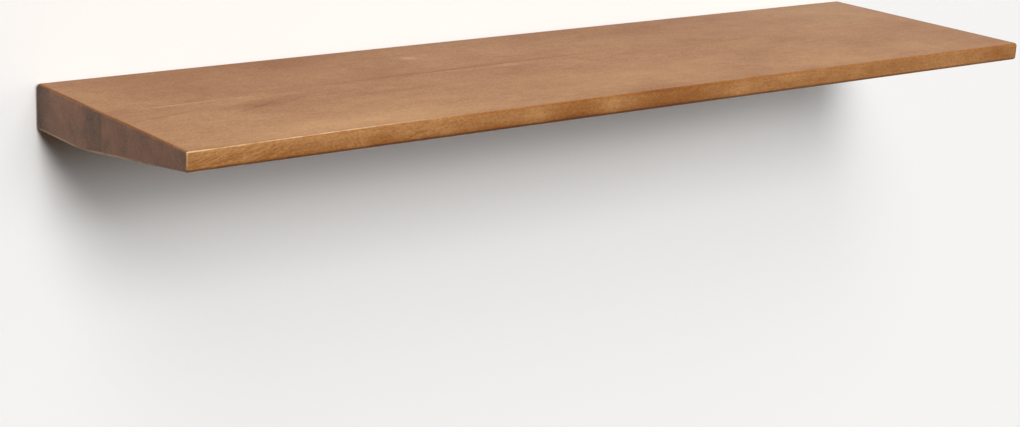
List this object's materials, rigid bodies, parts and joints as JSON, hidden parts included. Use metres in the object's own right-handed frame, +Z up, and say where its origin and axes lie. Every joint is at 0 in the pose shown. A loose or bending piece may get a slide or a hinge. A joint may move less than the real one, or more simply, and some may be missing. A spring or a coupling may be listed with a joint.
{
  "type": "floating wall shelf",
  "caption": "Tapered wooden wall shelf of edge-glued boards, thick at the wall and thin at the front, that slides onto a hidden steel plate with rods and is locked from below.",
  "frame": {"origin": "middle of the wall plate's back face, on the wall", "axes": "+X along the shelf to the right as seen from the room, +Y into the wall, +Z up"},
  "size_m": [0.914, 0.244, 0.038],
  "materials": {
    "shelf_wood": "stained hardwood under satin lacquer",
    "plate_coating": "fine-textured black powder coat",
    "rod_zinc": "drawn steel, bright zinc plated",
    "screw_steel": "black oxide",
    "insert_brass": "turned brass"
  },
  "bodies": {
    "bracket": {"wall_plate": "plate_coating", "support_rod_1": "rod_zinc", "support_rod_2": "rod_zinc", "support_rod_3": "rod_zinc", "support_rod_4": "rod_zinc", "rod_screw_1": "screw_steel", "rod_screw_2": "screw_steel", "rod_screw_3": "screw_steel", "rod_screw_4": "screw_steel"},
    "shelf": {"back_board": "shelf_wood", "front_board": "shelf_wood", "lock_insert_left": "insert_brass", "lock_insert_right": "insert_brass"},
    "lock_screw_left": {"lock_screw_left": "screw_steel"},
    "lock_screw_right": {"lock_screw_right": "screw_steel"}
  },
  "joints": [
    {"name": "shelf_slide", "type": "slide", "parent": "bracket", "child": "shelf", "axis": [0, -1, 0], "range_m": [0, 0.135]},
    {"name": "lock_left", "type": "slide", "parent": "shelf", "child": "lock_screw_left", "axis": [0, 0, -1], "range_m": [0, 0.006]},
    {"name": "lock_right", "type": "slide", "parent": "shelf", "child": "lock_screw_right", "axis": [0, 0, -1], "range_m": [0, 0.006]}
  ]
}
